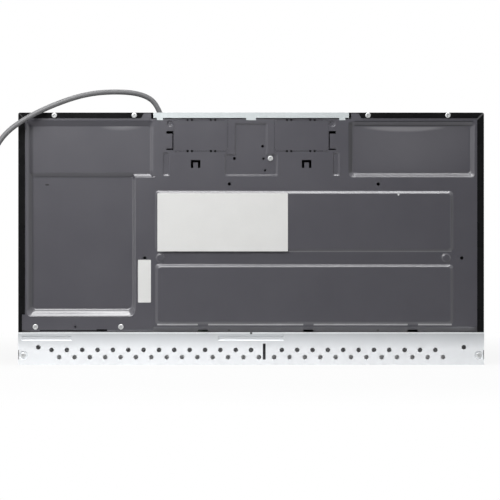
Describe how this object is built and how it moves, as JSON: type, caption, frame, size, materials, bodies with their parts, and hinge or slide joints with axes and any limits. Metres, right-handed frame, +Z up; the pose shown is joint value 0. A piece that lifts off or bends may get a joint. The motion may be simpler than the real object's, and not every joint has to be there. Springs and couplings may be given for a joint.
{
  "type": "microwave oven",
  "caption": "Over-the-range vented microwave oven seen from behind: pressed grey back panel, black wrapper, galvanised wall plate, power cord leaving over the top.",
  "frame": {"origin": "centre of the standing plane under the object's width and depth", "axes": "+X along the width to the control side, -Y out of the door front, +Y towards the wall, +Z up"},
  "size_m": [0.8435, 0.461, 0.4497],
  "materials": {
    "grey_paint": "satin",
    "black_paint": "gloss",
    "zinc": "bright zinc",
    "galvanised": "spangled zinc",
    "cavity_paint": "satin enamel",
    "mica": "matte",
    "mesh_aluminium": "mesh",
    "clear_lens": "frosted",
    "white_plastic": "matte",
    "motor_steel": "laminated",
    "black_plastic": "gloss",
    "tray_glass": "clear",
    "smoked_glass": "smoked",
    "dark_screen": "perforated",
    "handle_metal": "brushed",
    "keypad_foil": "satin",
    "green_board": "solder mask",
    "charcoal": "granular",
    "cord_rubber": "matte"
  },
  "bodies": {
    "cabinet": {"back_panel": "grey_paint", "outer_wrapper": "black_paint", "weld_nuts": "zinc", "mounting_plate": "galvanised", "case_screws": "zinc", "vent_tray": "galvanised", "exhaust_collar": "galvanised", "front_frame": "cavity_paint", "oven_cavity": "cavity_paint", "waveguide_cover": "mica", "base_pan": "grey_paint", "lamp_lens": "clear_lens", "cooktop_lamps": "white_plastic", "blower_housing": "black_plastic", "blower_motor": "motor_steel", "fan_bulkhead": "galvanised", "fan_motor": "motor_steel", "waveguide": "galvanised", "magnetron": "mesh_aluminium", "hv_transformer": "motor_steel", "hv_capacitor": "mesh_aluminium", "hv_diode": "black_plastic", "cavity_lamp": "white_plastic", "turntable_motor": "motor_steel", "hinge_brackets": "zinc", "latch_board": "white_plastic", "interlock_switches": "black_plastic", "control_panel": "black_plastic", "keypad": "keypad_foil", "display_window": "smoked_glass", "control_board": "green_board", "vent_grille": "black_plastic", "charcoal_filter": "charcoal", "cord_gland": "black_plastic", "power_cord": "cord_rubber", "power_plug": "cord_rubber"},
    "door": {"door_bezel": "black_plastic", "door_glass": "smoked_glass", "door_pan": "cavity_paint", "door_screen": "dark_screen", "door_choke": "black_plastic", "hinge_bushes": "white_plastic", "door_handle": "handle_metal", "handle_posts": "handle_metal"},
    "latch": {"door_latch": "white_plastic"},
    "turntable": {"table_coupler": "white_plastic", "glass_tray": "tray_glass"},
    "roller_ring": {"roller_ring": "white_plastic"},
    "roller_1": {"roller_1": "white_plastic"},
    "roller_2": {"roller_2": "white_plastic"},
    "roller_3": {"roller_3": "white_plastic"},
    "blower_rotor": {"blower_shaft": "motor_steel", "blower_wheel_left": "white_plastic", "blower_wheel_right": "white_plastic"},
    "fan": {"cooling_fan": "white_plastic"},
    "damper": {"damper_flap": "galvanised"},
    "filter_left": {"grease_filter_left": "mesh_aluminium"},
    "filter_right": {"grease_filter_right": "mesh_aluminium"}
  },
  "joints": [
    {"name": "door_swing", "type": "hinge", "parent": "cabinet", "child": "door", "pos_m": [-0.367, -0.14675, 0.185], "axis": [0, 0, -1], "range_deg": [0, 110]},
    {"name": "latch_slide", "type": "slide", "parent": "door", "child": "latch", "axis": [0, 0, 1], "range_m": [0, 0.004], "stiffness_N_per_m": 150, "springref_m": -0.008},
    {"name": "turntable_spin", "type": "hinge", "parent": "cabinet", "child": "turntable", "pos_m": [-0.09, 0.03145, 0.078], "axis": [0, 0, 1], "continuous": true},
    {"name": "roller_ring_spin", "type": "hinge", "parent": "cabinet", "child": "roller_ring", "pos_m": [-0.09, 0.03145, 0.07], "axis": [0, 0, 1], "continuous": true},
    {"name": "roller_1_spin", "type": "hinge", "parent": "roller_ring", "child": "roller_1", "pos_m": [0.005, 0.03145, 0.07], "axis": [1, 0, 0], "continuous": true},
    {"name": "roller_2_spin", "type": "hinge", "parent": "roller_ring", "child": "roller_2", "pos_m": [-0.1375, 0.11372, 0.07], "axis": [-0.5, 0.866, 0], "continuous": true},
    {"name": "roller_3_spin", "type": "hinge", "parent": "roller_ring", "child": "roller_3", "pos_m": [-0.1375, -0.05082, 0.07], "axis": [-0.5, -0.866, 0], "continuous": true},
    {"name": "blower_spin", "type": "hinge", "parent": "cabinet", "child": "blower_rotor", "pos_m": [0, 0.13625, 0.3435], "axis": [1, 0, 0], "continuous": true},
    {"name": "fan_spin", "type": "hinge", "parent": "cabinet", "child": "fan", "pos_m": [0.268, 0.1549, 0.185], "axis": [0, 1, 0], "continuous": true},
    {"name": "damper_swing", "type": "hinge", "parent": "cabinet", "child": "damper", "pos_m": [0, 0.18305, 0.4068], "axis": [-1, 0, 0], "range_deg": [0, 80]},
    {"name": "filter_left_drop", "type": "slide", "parent": "cabinet", "child": "filter_left", "axis": [0, 0, -1], "range_m": [0, 0.03]},
    {"name": "filter_right_drop", "type": "slide", "parent": "cabinet", "child": "filter_right", "axis": [0, 0, -1], "range_m": [0, 0.03]}
  ],
  "couplings": [
    {"joint": "roller_ring_spin", "follows": "turntable_spin", "ratio": 0.5},
    {"joint": "roller_1_spin", "follows": "turntable_spin", "ratio": -6.1688},
    {"joint": "roller_2_spin", "follows": "turntable_spin", "ratio": -6.1688},
    {"joint": "roller_3_spin", "follows": "turntable_spin", "ratio": -6.1688}
  ]
}
